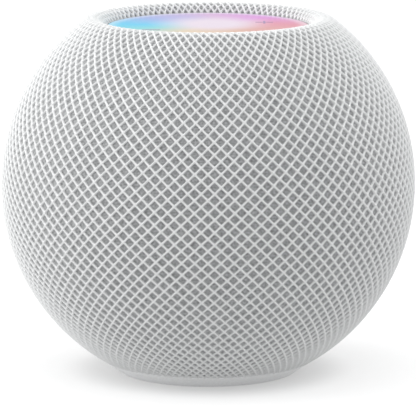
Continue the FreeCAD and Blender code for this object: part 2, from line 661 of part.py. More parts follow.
def make_top():
    """The touch surface, its lights and the ring that holds them in the lip."""
    panel_low = "(panel_top - panel_t)"
    film_low = f"({panel_low} - film_t)"
    glow_low = f"({film_low} - glow_t)"
    turned_part("touch_panel", [
        ("0", panel_low),
        ("panel_r", panel_low),
        ("panel_r", "panel_top - panel_edge"),
        ("panel_r - panel_edge", "panel_top"),
        ("0", "panel_top"),
    ])
    for name, side in (("plus_mark", "1"), ("minus_mark", "-1")):
        mark = new_part(name)
        arms = [("mark_size", "mark_line")]
        if name == "plus_mark":
            arms.append(("mark_line", "mark_size"))
        for wide, deep in arms:
            sketch = new_sketch(mark, "XY_Plane", "panel_top")
            across, back = f"({side} * mark_across)", f"({side} * mark_back)"
            draw_box(sketch, f"{across} - {wide} / 2", f"{across} + {wide} / 2",
                     f"{back} - {deep} / 2", f"{back} + {deep} / 2")
            extrude(mark, sketch, "mark_t")
    ring_part("touch_sensor", "0", "panel_r - film_inset", film_low, panel_low)
    ring_part("light_diffuser", "0", "glow_r", glow_low, film_low)
    frame = turned_part("top_frame", [
        ("glow_r + slip", "frame_low"),
        ("frame_r", "frame_low"),
        ("frame_r", "rim_low"),
        ("panel_r", "rim_low"),
        ("panel_r", film_low),
        ("glow_r + slip", film_low),
    ])
    across, count, turn = FRAME_SCREWS
    screw_holes(frame, across, "frame_low", "rim_low", count, turn)
    turned_part("light_baffle", [
        ("glow_r - funnel_low", "frame_low"),
        ("glow_r", "frame_low"),
        ("glow_r", glow_low),
        ("glow_r - funnel_top", glow_low),
    ])
    ring_part("led_board", "0", "panel_r", "frame_low - led_board_t", "frame_low")
    lights = new_part("status_leds")
    for ring, count in enumerate((1, 6, 12)):
        sketch = new_sketch(lights, "XY_Plane", "frame_low")
        across = f"{ring} * led_ring"
        draw_box(sketch, f"{across} - led_side / 2", f"{across} + led_side / 2",
                 "0 - led_side / 2", "led_side / 2")
        light = extrude(lights, sketch, "led_t")
        if count > 1:
            around(lights, [light], count)


def make_boards():
    """The main board with its shields and spreader, and the power board below the lid."""
    board = ring_part("main_board", "0", "board_r", "board_low", BOARD_TOP)
    across, count, turn = BOARD_SCREWS
    screw_holes(board, across, "board_low", BOARD_TOP, count, turn)
    half = "can_side / 2"
    block_part("processor_shield", f"0 - {half}", half, f"0 - {half}", half, BOARD_TOP, "can_top")
    block_part("radio_shield", "radio_near", "radio_far", "0 - radio_wide / 2", "radio_wide / 2",
               BOARD_TOP, "can_top - radio_drop")
    spreader = ring_part("heat_spreader", "0", "spreader_r", "spreader_low", "spreader_low + spreader_t")
    pegs(spreader, "pillar_ring", "pillar_r", BOARD_TOP, "spreader_low", 3, 30)
    ring_part("power_board", "0", "power_r", "power_low", POWER_TOP)
    coils = new_part("power_coils")
    pegs(coils, "choke_ring", "choke_r", POWER_TOP, f"{POWER_TOP} + choke_tall", 2, 90)
    caps = new_part("power_capacitors")
    pegs(caps, "cell_ring", "cell_r", POWER_TOP, f"{POWER_TOP} + cell_tall", 4, 45)
    block_part("power_socket", "0 - socket_wide / 2", "socket_wide / 2", "socket_in", "socket_out",
               POWER_TOP, "socket_top")


def make_microphones():
    """Microphones in pockets round the ball's widest line, behind the knit."""
    mics = new_part("microphones")
    back = new_sketch(mics, "XZ_Plane", f"0 - ({WALL_R} - mic_deep)")
    draw_microphone(back, "0")
    around(mics, [extrude(mics, back, "mic_t")], MICROPHONES)


def make_ribbon():
    """The flat cable that climbs from the main board to the light board."""
    ribbon = new_part("ribbon_cable")
    strip = new_sketch(ribbon, "YZ_Plane", "0 - ribbon_wide / 2")
    top = "(frame_low - led_board_t)"
    draw_outline(strip, [
        ("0 - ribbon_out", BOARD_TOP),
        ("0 - ribbon_foot", BOARD_TOP),
        ("0 - ribbon_foot", f"{BOARD_TOP} + ribbon_t"),
        ("ribbon_t - ribbon_out", f"{BOARD_TOP} + ribbon_t"),
        ("ribbon_t - ribbon_out", f"{top} - ribbon_t"),
        ("0 - ribbon_end", f"{top} - ribbon_t"),
        ("0 - ribbon_end", top),
        ("0 - ribbon_out", top),
    ])
    extrude(ribbon, strip, "ribbon_wide")


def make_cable_way():
    """The gland at the back of the outlet and the harness from it to the power board."""
    gland = new_part("cable_gland")
    body = new_sketch(gland, "XZ_Plane", "0 - gland_out")
    draw_circles(body, ("0", "gland_z", "gland_r"))
    extrude(gland, body, "gland_out - gland_in")
    bore = new_sketch(gland, "XZ_Plane", "0 - gland_out")
    draw_circles(bore, ("0", "gland_z", "gland_bore"))
    extrude(gland, bore, "gland_out - gland_in", cut=True, backwards=True)
    harness = new_part("power_harness")
    low, high = "gland_z + gland_r", "harness_top"
    profile = new_sketch(harness, "XY_Plane", low)
    draw_circles(profile, ("0", "harness_y", "harness_r"))
    route = new_sketch(harness, "YZ_Plane")
    spots = [Vector(value("harness_y"), value(low), 0)]
    spots.append(Vector(spots[0].x, value(f"{high} - harness_bend"), 0))
    middle = Vector(spots[0].x - value("harness_bend"), spots[1].y, 0)
    rise = route.addGeometry(Part.LineSegment(*spots))
    bend = Part.ArcOfCircle(Part.Circle(middle, Vector(0, 0, 1), value("harness_bend")), 0, math.pi / 2)
    bend = route.addGeometry(bend)
    turned = Vector(middle.x, value(high), 0)
    run = route.addGeometry(Part.LineSegment(turned, Vector(value("socket_out"), value(high), 0)))
    place_point(route, rise, 1, "harness_y", low)
    constrain(route, "Vertical", rise)
    constrain(route, "Tangent", rise, 2, bend, 1)
    constrain(route, "Radius", bend, size="harness_bend")
    constrain(route, "Tangent", bend, 2, run, 1)
    place_point(route, run, 2, "socket_out", high)
    pipe = harness.newObject("PartDesign::AdditivePipe", "power_harness_pipe")
    pipe.Profile = profile
    pipe.Spine = route


def make_fasteners():
    """Each ring of identical screws."""
    across, count, turn = BASE_SCREWS
    screws_part("base_screws", across, BASE_SEAT, "base_top + bite", count, turn)
    across, count, turn = GUIDE_SCREWS
    screws_part("waveguide_screws", across, "guide_top - ring_t", f"{BAFFLE_TOP} - 2 * slip", count, turn)
    across, count, turn = DRIVER_SCREWS
    screws_part("driver_screws", across, "flange_low", f"{BAFFLE_TOP} - 2 * slip", count, turn)
    across, count, turn = LID_SCREWS
    screws_part("lid_screws", across, LID_TOP, "seal_low - ledge_t + 2 * slip", count, turn)
    across, count, turn = BOARD_SCREWS
    screws_part("board_screws", across, BOARD_TOP, "board_low - bite", count, turn)
    across, count, turn = FRAME_SCREWS
    screws_part("frame_screws", across, "frame_low", "rim_low + long_bite", count, turn)
    shell = new_part("shell_screws")
    head = new_sketch(shell, "XZ_Plane", "0 - shell_seat")
    draw_circles(head, ("0", "shell_screw_z", "head_r"))
    shank = new_sketch(shell, "XZ_Plane", "0 - shell_seat")
    draw_circles(shank, ("0", "shell_screw_z", "screw_r"))
    head_pad = extrude(shell, head, "head_t / 2", backwards=True)
    shank_pad = extrude(shell, shank, "shell_seat - (spigot_r - spigot_t)")
    around(shell, [head_pad, shank_pad], SHELL_SCREWS)


def make_seals():
    """The seals on the lid: one down onto the ledge, one between the two housings."""
    lid_seal = "(ledge_in + lid_seal_inset)"
    ring_part("lid_gasket", lid_seal, f"{lid_seal} + lid_seal_wide", "seal_low", LID_LOW)
    seam_seal = "(lid_r + seam_seal_inset)"
    ring_part("housing_seal", seam_seal, f"{seam_seal} + seam_seal_wide", "split_z", "split_z + seam_t")


make_skin()
make_main_housing()
make_top_housing()
make_lid()
make_base()
make_basket()
make_cone()
make_motor()
make_radiator("right", 90)
make_radiator("left", -90)
make_top()
make_boards()
make_microphones()
make_ribbon()
make_cable_way()
make_fasteners()
make_seals()
doc.recompute()

for item in doc.Objects:
    if "Invalid" in item.State or "Error" in item.State:
        raise RuntimeError(f"{item.Name} failed: {item.State}")
for part in parts:
    if part.Shape.isNull() or not part.Shape.isValid():
        raise RuntimeError(f"{part.Label} has no valid shape")

os.makedirs("parts", exist_ok=True)
for part in parts:
    part.Shape.exportStep(f"parts/{part.Label}.step")
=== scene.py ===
import json
import math

import bpy
import numpy as np
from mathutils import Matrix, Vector


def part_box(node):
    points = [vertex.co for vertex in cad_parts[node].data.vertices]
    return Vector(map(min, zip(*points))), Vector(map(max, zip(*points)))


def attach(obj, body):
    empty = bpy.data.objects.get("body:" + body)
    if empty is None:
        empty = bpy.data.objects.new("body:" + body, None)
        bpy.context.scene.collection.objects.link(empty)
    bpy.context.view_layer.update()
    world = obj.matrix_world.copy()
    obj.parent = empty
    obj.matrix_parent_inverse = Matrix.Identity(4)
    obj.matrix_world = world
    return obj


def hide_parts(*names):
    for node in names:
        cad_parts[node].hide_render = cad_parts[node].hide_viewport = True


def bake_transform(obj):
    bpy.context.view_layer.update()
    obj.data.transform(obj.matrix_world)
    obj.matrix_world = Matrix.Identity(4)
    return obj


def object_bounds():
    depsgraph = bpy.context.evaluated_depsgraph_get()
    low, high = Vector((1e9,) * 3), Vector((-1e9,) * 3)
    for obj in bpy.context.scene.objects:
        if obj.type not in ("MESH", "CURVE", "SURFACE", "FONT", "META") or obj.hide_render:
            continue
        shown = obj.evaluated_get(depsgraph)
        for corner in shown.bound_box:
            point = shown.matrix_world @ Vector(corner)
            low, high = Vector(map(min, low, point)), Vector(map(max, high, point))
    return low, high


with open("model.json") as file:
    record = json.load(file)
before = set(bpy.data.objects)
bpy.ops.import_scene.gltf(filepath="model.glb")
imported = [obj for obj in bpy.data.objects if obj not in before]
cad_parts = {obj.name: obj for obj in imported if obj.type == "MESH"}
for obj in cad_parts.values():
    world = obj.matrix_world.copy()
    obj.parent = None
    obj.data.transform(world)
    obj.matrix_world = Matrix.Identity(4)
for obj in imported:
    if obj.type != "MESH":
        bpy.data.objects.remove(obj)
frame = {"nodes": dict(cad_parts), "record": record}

# A ball-shaped smart speaker in an open knitted cover. The ball's axis is Z, its front is -Y, its two passive
# radiators are on X, and its cable leaves at the back. Everything is in metres.

CAD_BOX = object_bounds()
MM = 0.001

# ---- sizes: from the CAD's own boxes, and the few that a box can't give --------------------------

TALL = CAD_BOX[1][2]
BALL_R = CAD_BOX[1][0]
BALL_Z = 44.8 * MM                # height of the ball's middle
LIP_R = 4.0 * MM                  # roll of the lip round the touch surface
LIP_TURN = math.radians(64)       # how far the cover curls past the lip's crest
PANEL_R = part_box("touch_panel")[1][0]

LIP_Z = TALL - LIP_R
LIP_X = math.sqrt((BALL_R - LIP_R)**2 - (LIP_Z - BALL_Z)**2)
LIP_LAT = math.atan2(LIP_Z - BALL_Z, LIP_X)

# Distances along a meridian of the skin, from the ball's widest line.
MESH_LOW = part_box("mesh_cover")[0][2]
ARC_LOW = BALL_R * math.asin((MESH_LOW - BALL_Z) / BALL_R)
ARC_LIP = BALL_R * LIP_LAT
ARC_END = ARC_LIP + LIP_R * (math.pi / 2 + LIP_TURN - LIP_LAT)

GLAND_LOW, GLAND_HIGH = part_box("cable_gland")
OUTLET_Z = (GLAND_LOW[2] + GLAND_HIGH[2]) / 2
OUTLET_R = GLAND_HIGH[0] + 0.15 * MM

MESH_T = 0.85 * MM                # thickness of the knitted cover
SCRIM_DEPTH = 0.55 * MM           # how deep the fine knit lies below the ball's surface


def skin_point(arc, depth):
    """Radius and height of the skin at a distance along its meridian from the ball's widest line."""
    arc = np.asarray(arc, dtype=float)
    lat = arc / BALL_R
    turn = LIP_LAT + (arc - ARC_LIP) / LIP_R
    over = arc > ARC_LIP
    ball_r, roll_r = BALL_R - depth, LIP_R - depth
    radius = np.where(over, LIP_X + roll_r * np.cos(turn), ball_r * np.cos(lat))
    height = np.where(over, LIP_Z + roll_r * np.sin(turn), BALL_Z + ball_r * np.sin(lat))
    return radius, height


# ---- meshes --------------------------------------------------------------------------------------

TUBE_SIDES = 10


def mesh_object(name, points, faces):
    """A new smooth mesh object in the row frame."""
    mesh = bpy.data.meshes.new(name)
    mesh.from_pydata([tuple(point) for point in points], [], [tuple(face) for face in faces])
    mesh.update()
    mesh.polygons.foreach_set("use_smooth", [True] * len(mesh.polygons))
    piece = bpy.data.objects.new(name, mesh)
    bpy.context.scene.collection.objects.link(piece)
    return piece


def even_turns(count):
    """Angles evenly round a full turn."""
    return np.arange(count) * 2 * math.pi / count


def round_axis(radius, turn, height):
    """Points round the ball's own axis; a turn of 0 is the front."""
    parts = np.broadcast_arrays(radius * np.sin(turn), -radius * np.cos(turn), height)
    return np.stack(parts, axis=-1)


def band(low, high, size):
    """Faces between two closed rings of points, whose first points have the numbers low and high."""
    return [(low + step, low + (step + 1) % size, high + (step + 1) % size, high + step)
            for step in range(size)]


def tube(name, path, radius):
    """A closed ring of round section that follows a closed path of points."""
    ahead = np.roll(path, -1, axis=0) - np.roll(path, 1, axis=0)
    ahead /= np.linalg.norm(ahead, axis=1)[:, None]
    outward = path - path.mean(axis=0)
    outward -= np.sum(outward * ahead, axis=1)[:, None] * ahead
    outward /= np.linalg.norm(outward, axis=1)[:, None]
    upward = np.cross(ahead, outward)
    points, faces = [], []
    count = len(path)
    for side, turn in enumerate(even_turns(TUBE_SIDES)):
        points.extend(path + radius * (math.cos(turn) * outward + math.sin(turn) * upward))
        faces.extend(band(side * count, (side + 1) % TUBE_SIDES * count, count))
    return mesh_object(name, points, faces)


def wear(piece, material):
    """Give every face of the piece this one material."""
    piece.data.materials.clear()
    piece.data.materials.append(material)


def dress(piece, slot, material, *nodes, body="housing"):
    """Finish a new piece: its material, the body it rides and the CAD nodes it stands for. The slot is not
    used.
    """
    wear(piece, material)
    if body:
        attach(piece, body)
    if nodes:
        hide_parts(*nodes)


# ---- shader nodes --------------------------------------------------------------------------------

def new_material(name, color, roughness, **sockets):
    """A Principled material with plain values; returns it with its node tree and shader."""
    material = bpy.data.materials.new(name)
    material.use_nodes = True
    shader = material.node_tree.nodes["Principled BSDF"]
    shader.inputs["Base Color"].default_value = (*color, 1)
    shader.inputs["Roughness"].default_value = roughness
    for socket, value in sockets.items():
        shader.inputs[socket.replace("_", " ")].default_value = value
    return material, material.node_tree, shader


def add_node(tree, kind, *signals, **settings):
    """A node with its first inputs linked to the signals; in_Name sets an input, the rest are settings."""
    node = tree.nodes.new(kind)
    for key, value in settings.items():
        if key.startswith("in_"):
            node.inputs[key[3:].replace("_", " ")].default_value = value
        else:
            setattr(node, key, value)
    for index, signal in enumerate(signals):
        if hasattr(signal, "links"):
            tree.links.new(signal, node.inputs[index])
        else:
            node.inputs[index].default_value = signal
    return node


def math_node(tree, operation, *signals):
    """The result of one sum on signals or numbers."""
    return add_node(tree, "ShaderNodeMath", *signals, operation=operation).outputs[0]


def vector_node(tree, operation, *signals):
    """A node that does one sum on vectors."""
    return add_node(tree, "ShaderNodeVectorMath", *signals, operation=operation)


def object_place(tree):
    """Where a point is in the row frame, in metres."""
    return add_node(tree, "ShaderNodeTexCoord").outputs["Object"]


def coordinate(tree, letter):
    """How far a point is along one axis."""
    return add_node(tree, "ShaderNodeSeparateXYZ", object_place(tree)).outputs[letter]


def level_vector(tree, middle=(0, 0, 0)):
    """Which way, and how far, a point lies from the upright line through the middle."""
    moved = vector_node(tree, "SUBTRACT", object_place(tree), middle).outputs[0]
    return vector_node(tree, "MULTIPLY", moved, (1, 1, 0)).outputs[0]


def axis_radius(tree, middle=(0, 0, 0)):
    """How far a point is from the upright line through the middle."""
    return vector_node(tree, "LENGTH", level_vector(tree, middle)).outputs["Value"]


def mesh_mark(tree, label):
    """A value that the mesh itself holds at each of its points."""
    return add_node(tree, "ShaderNodeAttribute", attribute_name=label).outputs["Fac"]


def noise(tree, scale, detail=3.0, rough=0.55):
    """Noise over the row frame; scale is in bumps per metre."""
    node = add_node(tree, "ShaderNodeTexNoise", in_Scale=scale, in_Detail=detail, in_Roughness=rough)
    tree.links.new(object_place(tree), node.inputs["Vector"])
    return node.outputs["Fac"]


def waves(tree, signal, pitch):
    """Ridges from 0 to 1 along a distance, one every pitch."""
    turn = math_node(tree, "MULTIPLY", signal, 2 * math.pi / pitch)
    return math_node(tree, "MULTIPLY_ADD", math_node(tree, "SINE", turn), 0.5, 0.5)


def ramp(tree, signal, stops):
    """A colour ramp; stops are (position, colour)."""
    node = add_node(tree, "ShaderNodeValToRGB", signal)
    while len(node.color_ramp.elements) < len(stops):
        node.color_ramp.elements.new(0.5)
    for element, (position, color) in zip(node.color_ramp.elements, stops):
        element.position = position
        element.color = (*color, 1)
    return node.outputs["Color"]


MIX_SHARE, MIX_LOW, MIX_HIGH, MIX_RESULT = 0, 6, 7, 2    # the Mix node's sockets for colours


def blend_colors(tree, share, low, high, mode="MIX"):
    """low where share is 0 and high where it is 1; either may be a signal or a colour."""
    node = add_node(tree, "ShaderNodeMix", data_type="RGBA", blend_type=mode)
    for socket, value in ((MIX_SHARE, share), (MIX_LOW, low), (MIX_HIGH, high)):
        if hasattr(value, "links"):
            tree.links.new(value, node.inputs[socket])
        else:
            node.inputs[socket].default_value = value if socket == MIX_SHARE else (*value, 1)
    return node.outputs[MIX_RESULT]


def smooth_step(tree, signal, low, high):
    """0 below low, 1 above high and an even curve between."""
    node = add_node(tree, "ShaderNodeMapRange", signal, low, high, interpolation_type="SMOOTHSTEP")
    return node.outputs[0]


def bump(tree, shader, height, strength, distance):
    """Bump the surface by a height signal."""
    node = add_node(tree, "ShaderNodeBump", in_Strength=strength, in_Distance=distance)
    tree.links.new(height, node.inputs["Height"])
    tree.links.new(node.outputs["Normal"], shader.inputs["Normal"])


def shades(color, low, high):
    """The colour a little darker and a little lighter."""
    return [tuple(min(1, part * share) for part in color) for share in (low, high)]


# ---- materials -----------------------------------------------------------------------------------

GRAIN_RANGE = (0.32, 0.68)        # the part of the noise that a grain's colours spread over
GLOSS_SPREAD = 0.08               # how much the roughness wanders each way
GRAIN_BUMP = 0.4


def grained(name, color, roughness, grain, depth, shade=(0.93, 1.05), **sockets):
    """A surface with a fine random grain in its colour, gloss and height."""
    material, tree, shader = new_material(name, color, roughness, **sockets)
    grains = noise(tree, grain)
    colors = ramp(tree, grains, list(zip(GRAIN_RANGE, shades(color, *shade))))
    tree.links.new(colors, shader.inputs["Base Color"])
    patches = noise(tree, grain / 4)
    gloss = math_node(tree, "MULTIPLY_ADD", patches, GLOSS_SPREAD * 2, roughness - GLOSS_SPREAD)
    tree.links.new(gloss, shader.inputs["Roughness"])
    bump(tree, shader, grains, GRAIN_BUMP, depth)
    return material


def moulded(name, color, roughness, grain=1500):
    """Moulded plastic with a fine spark-eroded grain."""
    return grained(name, color, roughness, grain, 0.02 * MM, Specular_IOR_Level=0.4)


def soft_rubber(name, color):
    """Matt rubber or foam, with a dusty sheen."""
    return grained(name, color, 0.68, 2600, 0.03 * MM, (0.85, 1.12), Sheen_Weight=0.12)


def metal(name, color, roughness, grain=900):
    """Plated or blasted metal with an uneven polish."""
    return grained(name, color, roughness, grain, 0.008 * MM, (0.86, 1.08), Metallic=1.0)


YARN_TWIST = 0.30 * MM            # one turn of the filaments along a strand
YARN_SLANT = 0.22 * MM            # how far a filament runs ahead between a strand's middle and its edge
YARN_FUZZ = 5200                  # stray fibres per metre
YARN_COLORS = [(0.30, (0.575, 0.580, 0.583)), (0.66, (0.675, 0.680, 0.680))]
GROOVE_COLOR, GROOVE_SHARE = (0.470, 0.475, 0.478), 0.16
# painted shade on the edges of each strand: its colour, and where across the strand it comes in
FLANK_PAINTED_SHADE_COLOR, FLANK_PAINTED_SHADE_REACH = (0.610, 0.615, 0.618), (0.45, 1.0)
UNDER_PAINTED_SHADE = 0.08                # painted shade: how much darker the strands that lie under the others are


def strand_yarn():
    """White knitted strands: filaments twisted along each strand, with painted shade on the strands that lie
    under the others and on the edges of every strand.
    """
    material, tree, shader = new_material(
        "strand_yarn", (0.86, 0.86, 0.85), 0.65,
        Sheen_Weight=0.12, Sheen_Roughness=0.45, Specular_IOR_Level=0.15)
    across = mesh_mark(tree, "across")
    slant = math_node(tree, "MULTIPLY_ADD", across, YARN_SLANT, mesh_mark(tree, "along"))
    twist = waves(tree, slant, YARN_TWIST)
    fuzz = noise(tree, YARN_FUZZ, 4.0, 0.7)
    groove = math_node(tree, "MULTIPLY", twist, GROOVE_SHARE)
    grooved = blend_colors(tree, groove, ramp(tree, fuzz, YARN_COLORS), GROOVE_COLOR)
    # painted shade on the strands that lie under the others
    under = math_node(tree, "MULTIPLY", mesh_mark(tree, "under"), UNDER_PAINTED_SHADE)
    with_painted_under_shade = blend_colors(tree, under, grooved, (0, 0, 0))
    # painted shade: each strand darker towards its edges
    painted_flank_shade = smooth_step(tree, math_node(tree, "ABSOLUTE", across), *FLANK_PAINTED_SHADE_REACH)
    color = blend_colors(tree, painted_flank_shade, with_painted_under_shade, FLANK_PAINTED_SHADE_COLOR)
    tree.links.new(color, shader.inputs["Base Color"])
    bump(tree, shader, math_node(tree, "MULTIPLY_ADD", fuzz, 0.7, twist), 0.35, 0.05 * MM)
    return material


KNIT_ROW = 0.34 * MM              # height of one row of the fine knit's loops
KNIT_FUZZ = 2100                  # stray fibres per metre
KNIT_ROW_SHARE, KNIT_FUZZ_SHARE = 0.18, 0.92
KNIT_COLORS = [(0.41, (0.105, 0.108, 0.111)), (0.62, (0.360, 0.364, 0.368))]


def scrim_knit():
    """The grey knit behind the cells: rows of tiny loops, fuzzed over."""
    material, tree, shader = new_material(
        "scrim_knit", (0.4, 0.4, 0.4), 0.9, Sheen_Weight=0.3, Sheen_Roughness=0.5)
    rows = waves(tree, coordinate(tree, "Z"), KNIT_ROW)
    fuzz = math_node(tree, "MULTIPLY", noise(tree, KNIT_FUZZ, 4.0, 0.8), KNIT_FUZZ_SHARE)
    loops = math_node(tree, "MULTIPLY_ADD", rows, KNIT_ROW_SHARE, fuzz)
    tree.links.new(ramp(tree, loops, KNIT_COLORS), shader.inputs["Base Color"])
    bump(tree, shader, loops, 0.8, 0.2 * MM)
    return material


# The touch surface's light: a share of a turn, from the left by the front, the right and the back, and the
# colour there.
GLOW_RING = [
    (0.00, (0.13, 0.56, 0.80)),
    (0.08, (0.22, 0.62, 0.66)),
    (0.19, (0.70, 0.58, 0.42)),
    (0.34, (0.66, 0.42, 0.33)),
    (0.50, (0.68, 0.28, 0.36)),
    (0.62, (0.66, 0.30, 0.66)),
    (0.75, (0.64, 0.44, 0.66)),
    (0.92, (0.34, 0.44, 0.74)),
    (1.00, (0.13, 0.56, 0.80)),
]
GLOW_MIDDLE = (0.74, 0.65, 0.74)
GLOW_AT = (1.0 * MM, 4.0 * MM, 0)           # where the light's middle is
GLOW_FADE = (6.0 * MM, 17.5 * MM)           # how far from there the pale middle turns into the ring
GLOW_WANDER = 0.08                          # how much of a turn the ring's colours wander by
GLOW_DRIFT = 3 * MM                         # how much the middle's edge wanders by
RIM_COLOR, RIM_SHARE, RIM_WIDE = (0.80, 0.86, 0.88), 0.45, 3.5 * MM
PANEL_TINT = (0.12, 0.12, 0.12)             # how much of the light's colour the panel itself has


def touch_surface():
    """The lit touch surface: a pale middle inside a ring of colours that drift into each other."""
    material, tree, shader = new_material(
        "touch_surface", (0.9, 0.9, 0.92), 0.3, Specular_IOR_Level=0.03, Emission_Strength=0.84)
    drift = noise(tree, 70, 1.0, 0.5)
    outward = add_node(tree, "ShaderNodeSeparateXYZ", level_vector(tree, GLOW_AT))
    turn = math_node(tree, "ARCTAN2", outward.outputs["Y"], outward.outputs["X"])
    wander = math_node(tree, "MULTIPLY_ADD", drift, GLOW_WANDER, -GLOW_WANDER / 2)
    share = math_node(tree, "ADD", math_node(tree, "MULTIPLY_ADD", turn, 0.5 / math.pi, 0.5), wander)
    ring = ramp(tree, math_node(tree, "FRACT", share), GLOW_RING)
    reach = math_node(tree, "MULTIPLY_ADD", drift, GLOW_DRIFT, axis_radius(tree, GLOW_AT))
    glow = blend_colors(tree, smooth_step(tree, reach, *GLOW_FADE), GLOW_MIDDLE, ring)
    rim = smooth_step(tree, axis_radius(tree), PANEL_R - RIM_WIDE, PANEL_R)
    glow = blend_colors(tree, math_node(tree, "MULTIPLY", rim, RIM_SHARE), glow, RIM_COLOR)
    tree.links.new(glow, shader.inputs["Emission Color"])
    tint = blend_colors(tree, 1.0, glow, PANEL_TINT, "MULTIPLY")
    tree.links.new(tint, shader.inputs["Base Color"])
    bump(tree, shader, noise(tree, 900, 2.0), 0.05, 0.005 * MM)
    return material


WIRE_WIDE = 0.18 * MM
WIRE_COLORS = [(0.1, (0.34, 0.13, 0.05)), (0.7, (0.80, 0.42, 0.21))]


def wound_wire():
    """Enamelled copper wire in even turns."""
    material, tree, shader = new_material(
        "wound_wire", (0.72, 0.36, 0.17), 0.3, Metallic=1.0, Coat_Weight=0.3)
    turns = waves(tree, coordinate(tree, "Z"), WIRE_WIDE)
    tree.links.new(ramp(tree, turns, WIRE_COLORS), shader.inputs["Base Color"])
    bump(tree, shader, turns, 0.7, 0.05 * MM)
    return material


MOULD_RING = 0.9 * MM
PAPER_COLORS = [(0.35, (0.035, 0.035, 0.038)), (0.70, (0.130, 0.130, 0.135))]


def pressed_paper():
    """Black pressed paper: short fibres and faint rings from the mould."""
    material, tree, shader = new_material("pressed_paper", (0.06, 0.06, 0.065), 0.75, Sheen_Weight=0.1)
    fibres = noise(tree, 3000, 5.0, 0.7)
    tree.links.new(ramp(tree, fibres, PAPER_COLORS), shader.inputs["Base Color"])
    rings = waves(tree, axis_radius(tree), MOULD_RING)
    bump(tree, shader, math_node(tree, "MULTIPLY_ADD", rings, 0.5, fibres), 0.5, 0.06 * MM)
    return material


CLOTH_THREAD = 0.4 * MM


def woven_cloth(name, color):
    """Resin-stiffened cloth: threads over and under each other."""
    material, tree, shader = new_material(name, color, 0.8, Sheen_Weight=0.15)
    threads = [waves(tree, coordinate(tree, letter), CLOTH_THREAD) for letter in "XY"]
    weave = math_node(tree, "MULTIPLY", *threads)
    low, high = shades(color, 0.55, 1.15)
    tree.links.new(ramp(tree, weave, [(0.0, low), (0.6, high)]), shader.inputs["Base Color"])
    bump(tree, shader, weave, 0.6, 0.05 * MM)
    return material


BOARD_LINES, BOARD_PADS = 420, 330          # copper lines and tinned pads per metre
PAD_REACH = 0.13                            # a pad's radius, as a share of the room it has
PAD_COLOR = (0.72, 0.70, 0.62)


def board_laminate():
    """Green solder mask with copper lines just under it and a scatter of tinned pads."""
    material, tree, shader = new_material("board_laminate", (0.02, 0.12, 0.06), 0.35, Coat_Weight=0.3)
    place = object_place(tree)
    lines = add_node(tree, "ShaderNodeTexBrick", place, in_Scale=BOARD_LINES, in_Mortar_Size=0.03,
                     in_Color1=(0.015, 0.10, 0.05, 1), in_Color2=(0.02, 0.13, 0.065, 1),
                     in_Mortar=(0.05, 0.24, 0.11, 1))
    pads = add_node(tree, "ShaderNodeTexVoronoi", place, in_Scale=BOARD_PADS)
    bare = math_node(tree, "LESS_THAN", pads.outputs["Distance"], PAD_REACH)
    color = blend_colors(tree, bare, lines.outputs["Color"], PAD_COLOR)
    tree.links.new(color, shader.inputs["Base Color"])
    tree.links.new(bare, shader.inputs["Metallic"])
    bump(tree, shader, lines.outputs["Fac"], 0.3, 0.02 * MM)
    return material


RESIN_COLORS = [(0.35, (0.95, 0.86, 0.52)), (0.65, (0.97, 0.96, 0.88))]


def lit_resin():
    """Clear LED resin over a yellow phosphor."""
    material, tree, shader = new_material(
        "lit_resin", (0.95, 0.9, 0.7), 0.15, Coat_Weight=0.5, Emission_Strength=0.8)
    warm = ramp(tree, noise(tree, 2500, 2.0), RESIN_COLORS)
    tree.links.new(warm, shader.inputs["Base Color"])
    tree.links.new(warm, shader.inputs["Emission Color"])
    return material


FINISHES = {
    "mesh_fabric": strand_yarn(),
    "scrim_fabric": scrim_knit(),
    "touch_glass": touch_surface(),
    "mark_ink": grained("mark_ink", (0.26, 0.20, 0.30), 0.6, 2400, 0.004 * MM, Specular_IOR_Level=0.1),
    "foot_rubber": grained("foot_rubber", (0.68, 0.685, 0.69), 0.5, 2200, 0.015 * MM,
                           Specular_IOR_Level=0.35),
    "shell_plastic": moulded("shell_plastic", (0.74, 0.74, 0.73), 0.5),
    "inner_plastic": moulded("inner_plastic", (0.035, 0.035, 0.038), 0.55),
    "diffuser_plastic": moulded("diffuser_plastic", (0.88, 0.88, 0.9), 0.35, 700),
    "seal_rubber": soft_rubber("seal_rubber", (0.02, 0.02, 0.02)),
    "surround_rubber": soft_rubber("surround_rubber", (0.014, 0.014, 0.015)),
    "cone_paper": pressed_paper(),
    "coil_copper": wound_wire(),
    "motor_steel": metal("motor_steel", (0.52, 0.53, 0.55), 0.38),
    "magnet_nickel": metal("magnet_nickel", (0.66, 0.65, 0.62), 0.2, 500),
    "screw_steel": metal("screw_steel", (0.12, 0.12, 0.13), 0.42, 2400),
    "spreader_metal": metal("spreader_metal", (0.70, 0.71, 0.73), 0.48, 1800),
    "board_laminate": board_laminate(),
    "can_metal": metal("can_metal", (0.62, 0.62, 0.63), 0.3, 1200),
    "part_black": moulded("part_black", (0.03, 0.03, 0.035), 0.5, 2200),
    "led_resin": lit_resin(),
    "wire_jacket": soft_rubber("wire_jacket", (0.035, 0.035, 0.038)),
}


def dress_nodes():
    """Every CAD node wears the finish of its own slot."""
    for part in frame["record"]["subparts"]:
        wear(frame["nodes"][part["node"]], FINISHES[part["material_slot"]])


# ---- knitted cover -------------------------------------------------------------------------------

CELLS_ROUND = 100                 # diamond cells round the ball
CELL_TALL = 2.957 * MM            # height of a cell, along a meridian
CELL_PHASE = 11.53 * MM           # how far one row's middle is above the ball's widest line
GORES = 5                         # pieces that the cover is made in
STRAND_HALF = 0.257 * MM          # half the width of a strand
STRAND_DIPS = (0.03, 0.12)        # how far upper and lower strands dip, as shares of the thickness
LEAST_OPENING = 0.25              # share of a cell that stays open where the cells get narrow
CORNER_POWER = 1.10               # how round an opening's corners are: 1 is a sharp diamond
SIDE_STEPS = 3                    # points along each side of a cell

